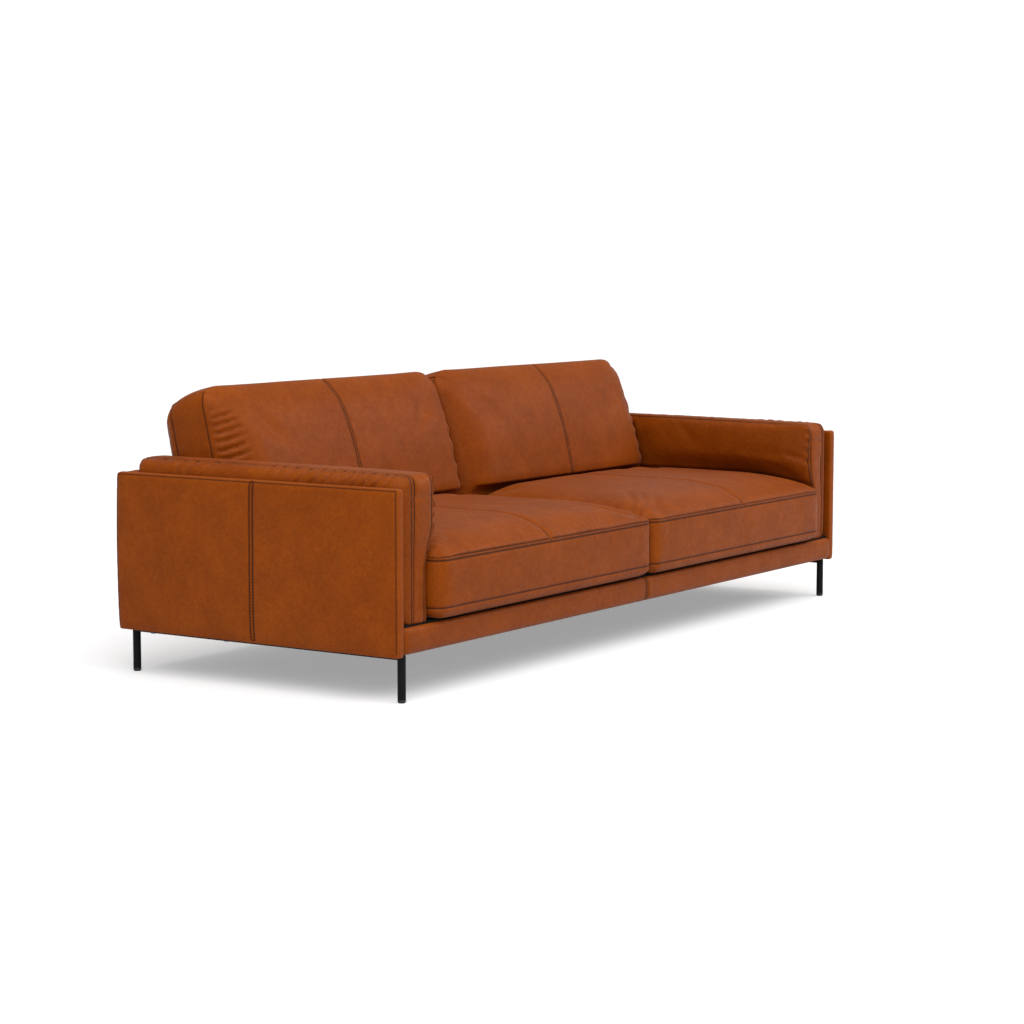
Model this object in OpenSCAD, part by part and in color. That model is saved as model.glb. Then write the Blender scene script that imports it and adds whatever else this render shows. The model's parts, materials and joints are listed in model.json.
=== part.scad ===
// Sofa with thin padded panels, loose leather cushions and slim metal legs.
// X runs along the sofa, the front faces -Y, +Z is up, and Z = 0 is the floor.
// X = 0 and Y = 0 are the middle of the whole sofa.

/* [Overall] */
// Width over the side panels
overall_w = 2500; // [1800:10:3000]
// Depth of the side panels, front to back
panel_depth = 950; // [850:5:1150]
// Height of the side and back panels
panel_h = 430; // [380:5:520]
// Clear height under the panels
leg_h = 126; // [90:1:180]

/* [Panels and rails] */
// Thickness of a padded panel with its leather
panel_t = 32; // [28:1:50]
// Thickness of the plywood inside a panel
ply_t = 18; // [12:1:20]
// Rounding of the padded panel edges
panel_r = 8; // [4:1:12]
// Height of the front rail with its leather
rail_h = 70; // [56:1:100]
// Thickness of the rail boards
rail_t = 22; // [18:1:30]
// Thickness of the doubled end rails that carry the legs
end_rail_t = 40; // [36:1:60]
// Padding and leather over and under the front rail board
rail_pad = 6; // [3:1:10]
// How far the rail leather laps over the board's top and underside
rail_lap = 12; // [8:1:14]
// Length of a corner block's two short sides
block_leg = 70; // [40:1:100]

/* [Springs and deck] */
// Springs under each seat
springs_per_seat = 5; // [3:1:8]
// Side of the springs' square wire
wire_t = 4; // [3:0.2:4.6]
// Width of a spring across its bends
spring_w = 60; // [50:1:80]
// Wanted distance from one bar of a spring to the next
spring_pitch = 40; // [34:1:46]
// Sheet thickness of a spring clip
clip_t = 1; // [0.8:0.1:2]
// Width of a spring clip along the rail
clip_w = 16; // [10:1:18]
// Thickness of the felt pad over the springs
deck_pad_t = 6; // [3:1:12]
// Thickness of the dust cloth underneath
dust_t = 1; // [0.6:0.1:2]

/* [Cushions] */
// Thickness of the leather with its lining
cover_t = 2; // [1.4:0.1:4]
// Height of a seat cushion at its crown
seat_h = 223; // [140:1:260]
// How far the seat cushions stand in front of the rail
seat_proud = 20; // [0:1:40]
// Rounding of the seat cushions
seat_r = 36; // [20:1:60]
// Width of an arm cushion
arm_w = 118; // [80:1:200]
// Height of an arm cushion
arm_h = 397; // [300:1:460]
// How far an arm cushion's front sits behind the panel's front edge
arm_set_back = 5; // [0:1:30]
// Rounding of the arm cushions
arm_r = 26; // [12:1:35]
// Height of the back cushions' tops above the deck
back_h = 588; // [480:1:680]
// Thickness of a back cushion at its crown
back_t = 228; // [160:1:260]
// Rounding of the back cushions
back_r = 66; // [40:1:75]
// How far the back cushions lean back from upright, in degrees
back_lean = 13; // [8:0.5:18]
// Height of a cushion's zip tape
zip_w = 16; // [10:1:24]
// Length of zip left out at each end of a cushion
zip_inset = 120; // [60:5:240]

/* [Legs] */
// Diameter of a leg
leg_d = 22; // [16:1:30]
// Wall of a leg tube
leg_wall = 2; // [1.5:0.1:3]
// Rounding of a leg's top shoulder
leg_shoulder = 5; // [2:0.5:6]
// Distance from the panel's outer face to a leg's centre
leg_inset = 51; // [32:1:120]
// Distance from the panel's front edge to a front leg's centre
leg_front = 25; // [20:1:120]
// Distance from the panel's rear edge to a rear leg's centre
leg_rear = 22; // [20:1:120]
// Height of the bar that joins two legs
bar_h = 14; // [8:1:20]
// Width of the bar
bar_w = 20; // [14:1:30]
// Height of the glide under a leg
glide_h = 9; // [8:1:14]
// Diameter of a glide's flat underside
glide_face_d = 12; // [8:1:14]

/* [Fasteners] */
// Screws that hold each leg bar
screws_per_bar = 4; // [2:1:6]
// Bolts that hold each side panel to its end rail
bolts_per_side = 3; // [2:1:5]
// Bolts that hold the rear rail to the back panel
bolts_at_back = 6; // [3:1:10]
// Shank diameter of the screws and bolts
shank_d = 6; // [4:0.5:8]
// Head diameter of the screws and bolts
head_d = 13; // [9:0.5:16]
// Head height of the screws and bolts
head_h = 3.5; // [2:0.5:5]
// How deep a screw or bolt bites into the plywood
bite = 11; // [6:1:11]

/* [Hidden] */
$fn = 96;

leather_colour = [0.58, 0.27, 0.09];
ply_colour = [0.80, 0.66, 0.45];
beech_colour = [0.76, 0.58, 0.38];
foam_colour = [0.93, 0.90, 0.78];
metal_colour = [0.07, 0.07, 0.08];
spring_colour = [0.55, 0.56, 0.58];
cloth_colour = [0.12, 0.12, 0.12];

// Gap between pieces that move apart
move_gap = 1;
// Clearance round a shank, and between a glide's stem and its tube
fit_gap = 0.1;
// Overshoot of a cut past the face it starts from
over = 1;
// Side of a cut that reaches past the whole sofa
far = 4000;

half_w = overall_w / 2;
front_y = seat_proud - (panel_depth + seat_proud) / 2;
rear_y = front_y + panel_depth;
top_z = leg_h + panel_h;
pad_t = (panel_t - ply_t) / 2;
inner_x = half_w - panel_t;
back_face_y = rear_y - panel_t;

rail_low_z = leg_h + rail_pad;
rail_top_z = leg_h + rail_h - rail_pad;
flange_z = leg_h + rail_h;
rail_front_y = front_y + pad_t;
rail_back_y = rail_front_y + rail_t;
rear_rail_y = back_face_y - rail_t;
end_rail_x = inner_x - end_rail_t;
wire_z = rail_top_z + clip_t + wire_t / 2;
clip_top_z = wire_z + wire_t / 2 + clip_t;
deck_low_z = max(flange_z, clip_top_z);
deck_z = deck_low_z + deck_pad_t;

spring_front_y = rail_back_y - rail_t / 4;
spring_rear_y = rear_rail_y + rail_t / 4;
spring_run = spring_rear_y - spring_front_y;
spring_bars = round(spring_run / spring_pitch);
bar_step = spring_run / spring_bars;

arm_x = inner_x - arm_w;
arm_front_y = front_y + arm_set_back;
arm_depth = back_face_y - arm_front_y;

// The back cushions' rear plane leans and clears the inner top edge of the back panel.
function lean_rear_y(z) = back_face_y - move_gap + (z - top_z) * tan(back_lean);
seat_z = deck_z + move_gap / 2;
seat_top_z = seat_z + seat_h;
seat_front_y = front_y - seat_proud;
seat_rear_y = lean_rear_y(seat_top_z) - back_t / cos(back_lean);
seat_depth = seat_rear_y - seat_front_y;
cushion_w = arm_x - 3 * move_gap / 2;
cushion_x = move_gap / 2 + cushion_w / 2;

back_low_z = deck_z + move_gap / 2;
back_mid_y = lean_rear_y(back_low_z) - back_t / cos(back_lean) / 2;
back_rise = back_h - move_gap / 2 - back_r - (back_t / 2 - back_r) * sin(back_lean);
back_len = back_r + back_rise / cos(back_lean);
back_tail = back_r + back_t;
back_cut_y = seat_rear_y + move_gap;

leg_x = half_w - leg_inset;
leg_front_y = front_y + leg_front;
leg_rear_y = rear_y - leg_rear;
bar_z = leg_h - bar_h;
glide_stem = 14;
screw_len = bar_h + bite;
side_bolt_len = end_rail_t + pad_t + bite;
rear_bolt_len = rail_t + pad_t + bite;
bolt_z = (rail_low_z + rail_top_z) / 2;

// Places along a line, with a margin at each end
function spread(n, from, to) = [for (i = [0 : n - 1]) from + (to - from) * i / (n - 1)];
screw_places = spread(screws_per_bar, leg_front_y + 60, leg_rear_y - 60);
side_bolt_places = spread(bolts_per_side, rail_back_y + 110, rear_rail_y - 110);
rear_bolt_places = spread(bolts_at_back, -end_rail_x + 110, end_rail_x - 110);
spring_margin = spring_w / 2 + 40;
spring_places = spread(springs_per_seat, rail_t / 2 + spring_margin, end_rail_x - spring_margin);

// ---- Shared shapes ----

// Rectangle with round corners, centred
module round_rect(w, h, r) {
    square([w - 2 * r, h], center = true);
    square([w, h - 2 * r], center = true);
    for (x = [-1, 1], y = [-1, 1])
        translate([x * (w / 2 - r), y * (h / 2 - r)])
            circle(r);
}

// Block with every edge rounded, centred in X and Y, standing on Z = 0
module soft_block(w, d, h, r) {
    intersection() {
        linear_extrude(h)
            round_rect(w, d, r);
        translate([0, d / 2, h / 2])
            rotate([90, 0, 0])
                linear_extrude(d)
                    round_rect(w, h, r);
        translate([-w / 2, 0, h / 2])
            rotate([90, 0, 90])
                linear_extrude(w)
                    round_rect(d, h, r);
    }
}

// Box from its low corner to its high corner
module box(low, high) {
    translate(low)
        cube(high - low);
}

// Screw or bolt with its head below Z = 0 and its shank up +Z
module fastener(shank_len) {
    translate([0, 0, -head_h])
        cylinder(d = head_d, h = head_h);
    cylinder(d = shank_d, h = shank_len);
}

// Hole for the shank of a fastener
module shank_hole(shank_len) {
    translate([0, 0, -over])
        cylinder(d = shank_d + 2 * fit_gap, h = shank_len + over + fit_gap);
}

module at_leg_screws(side) {
    for (y = screw_places)
        translate([side * leg_x, y, bar_z])
            children();
}

module at_side_bolts(side) {
    for (y = side_bolt_places)
        translate([side * end_rail_x, y, bolt_z])
            rotate([0, side * 90, 0])
                children();
}

module at_rear_bolts() {
    for (x = rear_bolt_places)
        translate([x, rear_rail_y, bolt_z])
            rotate([-90, 0, 0])
                children();
}

// ---- Legs ----

module leg(side, y) {
    r = leg_d / 2;
    bore_r = r - leg_wall;
    color(metal_colour)
        translate([side * leg_x, y, 0])
            rotate_extrude()
                difference() {
                    union() {
                        translate([0, glide_h])
                            square([r, leg_h - glide_h - leg_shoulder]);
                        square_top = leg_h - leg_shoulder;
                        translate([0, square_top - over])
                            square([r - leg_shoulder, leg_shoulder + over]);
                        translate([r - leg_shoulder, square_top])
                            circle(leg_shoulder);
                    }
                    translate([0, glide_h - over])
                        square([bore_r, leg_h - glide_h - leg_shoulder - leg_wall + over]);
                }
}

module glides() {
    r = leg_d / 2;
    face_r = glide_face_d / 2;
    round_r = r - face_r;
    stem_r = r - leg_wall - fit_gap;
    color("black")
        for (x = [-leg_x, leg_x], y = [leg_front_y, leg_rear_y])
            translate([x, y, 0])
                rotate_extrude() {
                    square([face_r, glide_h]);
                    translate([0, round_r])
                        square([r, glide_h - round_r]);
                    intersection() {
                        translate([face_r, round_r])
                            circle(round_r);
                        square([r, glide_h]);
                    }
                    square([stem_r, glide_h + glide_stem]);
                }
}

module leg_bar(side) {
    color(metal_colour)
        difference() {
            box([side * leg_x - bar_w / 2, leg_front_y, bar_z],
                [side * leg_x + bar_w / 2, leg_rear_y, leg_h]);
            for (y = [leg_front_y, leg_rear_y])
                translate([side * leg_x, y, bar_z - over])
                    cylinder(d = leg_d, h = bar_h + 2 * over);
            at_leg_screws(side)
                shank_hole(bar_h + over);
        }
}

module leg_screws() {
    color("dimgray")
        for (side = [-1, 1])
            at_leg_screws(side)
                fastener(screw_len);
}

// ---- Panels ----

module side_core(side) {
    mid_x = side * (half_w - panel_t / 2);
    color(ply_colour)
        difference() {
            box([mid_x - ply_t / 2, front_y + pad_t, leg_h],
                [mid_x + ply_t / 2, rear_y - pad_t, top_z - pad_t]);
            at_side_bolts(side)
                shank_hole(side_bolt_len);
        }
}

// Padded leather cover, open underneath where it is stapled
module side_cover(side) {
    mid_x = side * (half_w - panel_t / 2);
    color(leather_colour)
        difference() {
            translate([mid_x, (front_y + rear_y) / 2, leg_h])
                soft_block(panel_t, panel_depth, panel_h, panel_r);
            box([mid_x - ply_t / 2, front_y + pad_t, leg_h - over],
                [mid_x + ply_t / 2, rear_y - pad_t, top_z - pad_t]);
            at_side_bolts(side)
                shank_hole(side_bolt_len);
        }
}

module back_core() {
    color(ply_colour)
        difference() {
            box([-inner_x, back_face_y + pad_t, leg_h],
                [inner_x, rear_y - pad_t, top_z - pad_t]);
            at_rear_bolts()
                shank_hole(rear_bolt_len);
        }
}

module back_panel_cover() {
    color(leather_colour)
        difference() {
            translate([-inner_x, (back_face_y + rear_y) / 2, leg_h + panel_h / 2])
                rotate([90, 0, 90])
                    linear_extrude(2 * inner_x)
                        round_rect(panel_t, panel_h, panel_r);
            box([-inner_x - over, back_face_y + pad_t, leg_h - over],
                [inner_x + over, rear_y - pad_t, top_z - pad_t]);
            at_rear_bolts()
                shank_hole(rear_bolt_len);
        }
}

module front_rail_core() {
    color(beech_colour)
        box([-inner_x, rail_front_y, rail_low_z], [inner_x, rail_back_y, rail_top_z]);
}

// Padded leather round the front rail, open towards the springs
module front_rail_cover() {
    color(leather_colour)
        difference() {
            translate([-inner_x, front_y + panel_t, leg_h + rail_h / 2])
                rotate([90, 0, 90])
                    linear_extrude(2 * inner_x)
                        round_rect(2 * panel_t, rail_h, panel_r);
            box([-far, rail_front_y, rail_low_z], [far, rail_back_y + far, rail_top_z]);
            box([-far, rail_front_y + rail_lap, leg_h - over], [far, far, top_z]);
        }
}

// ---- Rails and blocks ----

module rear_rail() {
    color(beech_colour)
        difference() {
            box([-inner_x, rear_rail_y, rail_low_z], [inner_x, back_face_y, rail_top_z]);
            at_rear_bolts()
                shank_hole(rail_t + over);
        }
}

module end_rail(side) {
    low_x = min(side * end_rail_x, side * inner_x);
    color(beech_colour)
        difference() {
            box([low_x, rail_back_y, leg_h], [low_x + end_rail_t, rear_rail_y, rail_top_z]);
            at_side_bolts(side)
                shank_hole(end_rail_t + over);
            at_leg_screws(side)
                shank_hole(screw_len);
        }
}

module centre_stretcher() {
    color(beech_colour)
        box([-rail_t / 2, rail_back_y, rail_low_z], [rail_t / 2, rear_rail_y, rail_top_z]);
}

module corner_blocks() {
    color(beech_colour)
        for (x = [-1, 1], y = [-1, 1])
            translate([x * end_rail_x, y > 0 ? rear_rail_y : rail_back_y, rail_low_z])
                scale([-x, -y, 1])
                    linear_extrude(rail_top_z - rail_low_z)
                        polygon([[0, 0], [block_leg, 0], [0, block_leg]]);
}

module frame_bolts() {
    color("silver") {
        for (side = [-1, 1])
            at_side_bolts(side)
                fastener(side_bolt_len);
        at_rear_bolts()
            fastener(rear_bolt_len);
    }
}

// ---- Springs and deck ----

// Zigzag spring of square wire along +Y, from its first bar at Y = 0
module zigzag_spring() {
    bend_r = bar_step / 2;
    outer_r = bend_r + wire_t / 2;
    bar_len = spring_w - wire_t - bar_step;
    translate([0, 0, -wire_t / 2])
        linear_extrude(wire_t) {
            for (i = [0 : spring_bars])
                translate([0, i * bar_step])
                    square([bar_len, wire_t], center = true);
            for (i = [0 : spring_bars - 1]) {
                turn = i % 2 == 0 ? 1 : -1;
                translate([turn * bar_len / 2, (i + 0.5) * bar_step])
                    intersection() {
                        difference() {
                            circle(outer_r);
                            circle(bend_r - wire_t / 2);
                        }
                        translate([turn > 0 ? 0 : -2 * outer_r, -outer_r])
                            square(2 * outer_r);
                    }
            }
        }
}

module seat_springs(side) {
    color(spring_colour)
        for (x = spring_places)
            translate([side * x, spring_front_y, wire_z])
                zigzag_spring();
}

// Bent sheet clip that holds a spring's end bar on a rail
module spring_clip() {
    half_w = clip_w / 2;
    gap = wire_t / 2;
    wall = gap + clip_t;
    difference() {
        box([-half_w, -wall, -wall], [half_w, wall, wall]);
        box([-half_w - over, -gap, -gap], [half_w + over, gap, gap]);
    }
}

module spring_clips() {
    color("dimgray")
        for (side = [-1, 1], x = spring_places, y = [spring_front_y, spring_rear_y])
            translate([side * x, y, wire_z])
                spring_clip();
}

module deck_pad() {
    color(cloth_colour)
        box([-inner_x, rail_front_y + rail_lap / 2, deck_low_z], [inner_x, back_face_y, deck_z]);
}

module dust_cloth() {
    color(cloth_colour)
        box([-end_rail_x, rail_back_y, rail_low_z - dust_t], [end_rail_x, back_face_y, rail_low_z]);
}

// ---- Arm cushions ----

// An arm cushion's outer shape, taken in by a given amount all round
module arm_shape(side, take_in) {
    translate([side * (arm_x + arm_w / 2), arm_front_y + arm_depth / 2, deck_z + take_in])
        soft_block(arm_w - 2 * take_in, arm_depth - 2 * take_in, arm_h - 2 * take_in, arm_r - take_in);
}

// The strip under an arm cushion where its zip is sewn in
module arm_zip_slot(side) {
    mid_x = side * (arm_x + arm_w / 2);
    box([mid_x - zip_w / 2, arm_front_y + zip_inset, deck_z],
        [mid_x + zip_w / 2, back_face_y - zip_inset, deck_z + cover_t]);
}

module arm_cover(side) {
    color(leather_colour)
        difference() {
            arm_shape(side, 0);
            arm_shape(side, cover_t);
            arm_zip_slot(side);
        }
}

module arm_foam(side) {
    color(foam_colour)
        arm_shape(side, cover_t);
}

module arm_zip(side) {
    color("black")
        arm_zip_slot(side);
}

// ---- Seat cushions ----

module seat_shape(side, take_in) {
    translate([side * cushion_x, seat_front_y + seat_depth / 2, seat_z + take_in])
        soft_block(cushion_w - 2 * take_in, seat_depth - 2 * take_in, seat_h - 2 * take_in,
            seat_r - take_in);
}

// The strip in a seat cushion's rear face where its zip is sewn in
module seat_zip_slot(side) {
    mid_z = seat_z + seat_h / 2;
    half_len = cushion_w / 2 - zip_inset;
    box([side * cushion_x - half_len, seat_rear_y - cover_t, mid_z - zip_w / 2],
        [side * cushion_x + half_len, seat_rear_y, mid_z + zip_w / 2]);
}

module seat_cover(side) {
    color(leather_colour)
        difference() {
            seat_shape(side, 0);
            seat_shape(side, cover_t);
            seat_zip_slot(side);
        }
}

module seat_foam(side) {
    color(foam_colour)
        seat_shape(side, cover_t);
}

module seat_zip(side) {
    color("black")
        seat_zip_slot(side);
}

// ---- Back cushions ----

// Leaning slab, cut flat where it stands on the deck and where it meets the seat cushion
module back_shape(side, take_in) {
    intersection() {
        translate([side * cushion_x, back_mid_y, back_low_z])
            rotate([-back_lean, 0, 0])
                translate([0, 0, take_in - back_tail])
                    soft_block(cushion_w - 2 * take_in, back_t - 2 * take_in,
                        back_tail + back_len - 2 * take_in, back_r - take_in);
        box([-far, back_cut_y + take_in, back_low_z + take_in], [far, far, far]);
    }
}

// The strip under a back cushion where its zip is sewn in
module back_zip_slot(side) {
    half_len = cushion_w / 2 - zip_inset;
    mid_y = (back_cut_y + lean_rear_y(back_low_z)) / 2;
    box([side * cushion_x - half_len, mid_y - zip_w / 2, back_low_z],
        [side * cushion_x + half_len, mid_y + zip_w / 2, back_low_z + cover_t]);
}

module back_cover(side) {
    color(leather_colour)
        difference() {
            back_shape(side, 0);
            back_shape(side, cover_t);
            back_zip_slot(side);
        }
}

module back_fill(side) {
    color(foam_colour)
        back_shape(side, cover_t);
}

module back_zip(side) {
    color("black")
        back_zip_slot(side);
}

// ---- Nodes ----

leg_bar(-1);  // left_leg_bar
leg_bar(1);  // right_leg_bar
leg(-1, leg_front_y);  // front_left_leg
leg(-1, leg_rear_y);  // rear_left_leg
leg(1, leg_front_y);  // front_right_leg
leg(1, leg_rear_y);  // rear_right_leg
glides();
leg_screws();
side_core(-1);  // left_side_core
side_core(1);  // right_side_core
side_cover(-1);  // left_side_cover
side_cover(1);  // right_side_cover
back_core();
back_panel_cover();
front_rail_core();
front_rail_cover();
rear_rail();
end_rail(-1);  // left_end_rail
end_rail(1);  // right_end_rail
centre_stretcher();
corner_blocks();
seat_springs(-1);  // left_springs
seat_springs(1);  // right_springs
spring_clips();
deck_pad();
dust_cloth();
frame_bolts();
arm_cover(-1);  // left_arm_cover
arm_cover(1);  // right_arm_cover
arm_foam(-1);  // left_arm_foam
arm_foam(1);  // right_arm_foam
arm_zip(-1);  // left_arm_zip
arm_zip(1);  // right_arm_zip
seat_cover(-1);  // left_seat_cover
seat_cover(1);  // right_seat_cover
seat_foam(-1);  // left_seat_foam
seat_foam(1);  // right_seat_foam
seat_zip(-1);  // left_seat_zip
seat_zip(1);  // right_seat_zip
back_cover(-1);  // left_back_cover
back_cover(1);  // right_back_cover
back_fill(-1);  // left_back_fill
back_fill(1);  // right_back_fill
back_zip(-1);  // left_back_zip
back_zip(1);  // right_back_zip
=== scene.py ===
"""Upholstery, finishes and stage for a three-seat leather sofa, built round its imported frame."""

import json
import math

import bmesh
import bpy
import numpy as np
from bpy.props import FloatProperty, FloatVectorProperty, PointerProperty
from mathutils import Matrix, Vector, noise
from mathutils.bvhtree import BVHTree


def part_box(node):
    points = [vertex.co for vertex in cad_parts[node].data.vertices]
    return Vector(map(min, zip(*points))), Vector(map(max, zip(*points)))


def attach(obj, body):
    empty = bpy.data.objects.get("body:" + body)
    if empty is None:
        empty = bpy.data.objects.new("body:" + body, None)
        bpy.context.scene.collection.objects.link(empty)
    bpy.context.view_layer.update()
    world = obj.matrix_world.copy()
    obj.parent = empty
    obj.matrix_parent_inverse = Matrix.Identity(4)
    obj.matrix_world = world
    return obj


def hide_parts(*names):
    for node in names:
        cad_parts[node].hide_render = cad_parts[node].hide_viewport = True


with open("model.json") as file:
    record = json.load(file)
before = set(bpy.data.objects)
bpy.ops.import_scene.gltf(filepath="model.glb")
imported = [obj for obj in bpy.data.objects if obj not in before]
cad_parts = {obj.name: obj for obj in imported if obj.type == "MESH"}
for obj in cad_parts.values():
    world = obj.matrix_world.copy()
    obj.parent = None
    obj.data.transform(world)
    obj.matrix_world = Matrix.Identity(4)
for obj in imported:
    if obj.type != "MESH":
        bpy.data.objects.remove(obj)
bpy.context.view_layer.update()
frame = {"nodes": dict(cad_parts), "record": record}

bl_info = {
    "name": "Leather Panel Sofa",
    "version": (1, 0, 0),
    "blender": (4, 5, 0),
    "location": "3D View > Sidebar > Sofa",
    "description": "Builds the cushions, padded panels, seams and finishes of a three-seat sofa",
    "category": "Add Mesh",
}

# Each side's name, and 1 where a cover stays as it is made or -1 where it is mirrored
SIDES = (("left", -1), ("right", 1))
# Grid lines stand this far either side of a seam
GAP = 0.0045
# The middle seam of a seat or back cushion is this far from the split between the cushions
CENTRE = 0.5625
# Half the gap between two neighbouring cushions
SPLIT = 0.0008
# Frames that the cloth is simulated for
CLOTH_FRAMES = 20
TINY = 1e-7


# ---- Sizes and colours ----


class SofaLeather(bpy.types.PropertyGroup):
    """Colours and grain of the leather and its thread"""

    hide: FloatVectorProperty(
        name="Hide", description="Main colour of the leather", subtype="COLOR", size=3, min=0, max=1,
        default=(0.248, 0.0465, 0.0012))
    hide_light: FloatVectorProperty(
        name="Light patches", description="Colour where the dye lies thin", subtype="COLOR", size=3,
        min=0, max=1, default=(0.314, 0.068, 0.0030))
    hide_dark: FloatVectorProperty(
        name="Dark patches", description="Colour in the pores and creases", subtype="COLOR", size=3,
        min=0, max=1, default=(0.108, 0.019, 0.0014))
    # Colour painted along each seam: its dark sewn line, and painted shadow where the groove would be in
    # shade
    seam_shade: FloatVectorProperty(
        name="Seam shade", description="Colour at the bottom of a seam", subtype="COLOR", size=3,
        min=0, max=1, default=(0.045, 0.0095, 0.0010))
    thread: FloatVectorProperty(
        name="Thread", description="Colour of the sewing thread", subtype="COLOR", size=3, min=0, max=1,
        default=(0.060, 0.013, 0.0025))
    roughness: FloatProperty(
        name="Roughness", description="Roughness of smooth leather", default=0.35, min=0, max=1)
    grain: FloatProperty(
        name="Grain height", description="Depth of the leather's grain", default=0.00022, min=0,
        unit="LENGTH")


class SofaSeams(bpy.types.PropertyGroup):
    """Sizes of the seams and their stitches"""

    groove: FloatProperty(
        name="Groove depth", description="How far a seam pulls the leather in", default=0.0026, min=0,
        unit="LENGTH")
    groove_width: FloatProperty(
        name="Groove width", description="Half width of the pulled-in leather", default=0.0030,
        min=0.001, unit="LENGTH")
    double_gap: FloatProperty(
        name="Double seam", description="Half the distance between the rows of a double seam",
        default=0.0045, min=0.002, unit="LENGTH")
    stitch: FloatProperty(
        name="Stitch length", description="Length of one stitch", default=0.0062, min=0.002,
        unit="LENGTH")
    stitch_pitch: FloatProperty(
        name="Stitch pitch", description="Distance from one stitch to the next", default=0.0085,
        min=0.003, unit="LENGTH")
    thread_radius: FloatProperty(
        name="Thread radius", description="Radius of the thread", default=0.0007, min=0.0002,
        unit="LENGTH")


class SofaSeat(bpy.types.PropertyGroup):
    """Shape of the loose seat cushions"""

    top_seam_drop: FloatProperty(
        name="Top seam", description="Front edge seam below the crown", default=0.0615, min=0.02,
        unit="LENGTH")
    low_seam_rise: FloatProperty(
        name="Low seam", description="Lower seam above the deck", default=0.0315, min=0.01,
        unit="LENGTH")
    rim: FloatProperty(
        name="Rim", description="Upright leather above the top seam, where the crown starts",
        default=0.009, min=0.007, unit="LENGTH")
    roll: FloatProperty(
        name="Roll", description="How far the underside's edge turns under", default=0.024, min=0.005,
        unit="LENGTH")
    crown: FloatProperty(
        name="Crown", description="How far the middle stands above the cushion's plain block",
        default=0.0025, min=0, unit="LENGTH")
    inner_reach: FloatProperty(
        name="Inner fall", description="Width over which the top falls to the split", default=0.20,
        min=0.03, unit="LENGTH")
    swell: FloatProperty(
        name="Swell", description="How far the cover may swell under pressure", default=0.006, min=0,
        unit="LENGTH")


class SofaBack(bpy.types.PropertyGroup):
    """Shape of the loose back cushions"""

    height: FloatProperty(
        name="Height", description="Height along the lean", default=0.586, min=0.3, unit="LENGTH")
    thickness: FloatProperty(
        name="Thickness", description="Thickness of the plain slab", default=0.228, min=0.1,
        unit="LENGTH")
    front_seam: FloatProperty(
        name="Front seam", description="Front gusset seam in front of the cushion's middle",
        default=0.067, unit="LENGTH")
    rear_seam: FloatProperty(
        name="Rear seam", description="Rear gusset seam behind the cushion's middle", default=0.053,
        unit="LENGTH")
    rim: FloatProperty(
        name="Rim", description="Leather between a gusset seam and where the face swells",
        default=0.009, min=0.007, unit="LENGTH")
    front_crown: FloatProperty(
        name="Front crown", description="How far the front swells from its rim", default=0.080,
        min=0.02, unit="LENGTH")
    tuck: FloatProperty(
        name="Tuck", description="How much thinner the front is behind the seat cushion", default=0.62,
        min=0, max=1)
    swell: FloatProperty(
        name="Swell", description="How far the cover may swell under pressure", default=0.006, min=0,
        unit="LENGTH")


class SofaArm(bpy.types.PropertyGroup):
    """Shape of the fixed arm cushions"""

    lip: FloatProperty(
        name="Inner seam", description="Inner double seam from the cushion's inner side", default=0.006,
        min=0, unit="LENGTH")
    rim: FloatProperty(
        name="Rim", description="Leather between a double seam and where the face swells",
        default=0.007, min=0.005, unit="LENGTH")
    foot: FloatProperty(
        name="Foot", description="How much narrower the cushion is beside the seat", default=0.0105,
        min=0, unit="LENGTH")
    strip: FloatProperty(
        name="Outer seam", description="Outer double seam from the cushion's inner side",
        default=0.070, min=0.02, unit="LENGTH")
    inner_bulge: FloatProperty(
        name="Inner bulge", description="How far the inner face swells over the seat", default=0.027,
        min=0, unit="LENGTH")
    swell: FloatProperty(
        name="Swell", description="How far the cover may swell under pressure", default=0.005, min=0,
        unit="LENGTH")


class SofaPanel(bpy.types.PropertyGroup):
    """Padding of the side panels, back panel and front rail"""

    under: FloatProperty(
        name="Under wrap", description="How far the leather reaches below the plywood", default=0.0045,
        min=0.0005, unit="LENGTH")
    side_bulge: FloatProperty(
        name="Side bulge", description="How far a side panel's padding stands out", default=0.006,
        min=0, unit="LENGTH")
    back_bulge: FloatProperty(
        name="Back bulge", description="How far the back panel's padding stands out", default=0.009,
        min=0, unit="LENGTH")
    rail_bulge: FloatProperty(
        name="Rail bulge", description="How far the front rail's padding stands out", default=0.004,
        min=0, unit="LENGTH")


class SofaStage(bpy.types.PropertyGroup):
    """Camera and light"""

    camera_place: FloatVectorProperty(
        name="Camera", description="Where the camera stands", subtype="XYZ", unit="LENGTH", size=3,
        default=(-6.29896, -4.14208, 1.15417))
    camera_pitch: FloatProperty(
        name="Camera pitch", description="Tilt of the camera from straight down", unit="ROTATION",
        default=math.radians(90 - 5.99))
    camera_heading: FloatProperty(
        name="Camera heading", description="Turn of the camera about the vertical", unit="ROTATION",
        default=math.radians(-56.60))
    lens: FloatProperty(name="Lens", description="Focal length in millimetres", default=87.3, min=10)
    sky: FloatProperty(name="Sky", description="Strength of the even light", default=0.36, min=0)
    glow: FloatProperty(name="Floor glow", description="Light that the pale floor gives off itself",
                        default=0.33, min=0)
    sun: FloatProperty(name="Sun", description="Strength of the soft sun", default=2.4, min=0)
    gloss: FloatProperty(
        name="Gloss panel", description="Power of the panel that shines in the leather", default=125,
        min=0, unit="POWER")
    key: FloatProperty(
        name="Key light", description="Power of the large light from the left", default=56, min=0,
        unit="POWER")


SETTINGS = {
    "sofa_leather": SofaLeather, "sofa_seams": SofaSeams, "sofa_seat": SofaSeat,
    "sofa_back": SofaBack, "sofa_arm": SofaArm, "sofa_panel": SofaPanel, "sofa_stage": SofaStage,
}


# ---- Shader expressions ----


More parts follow.
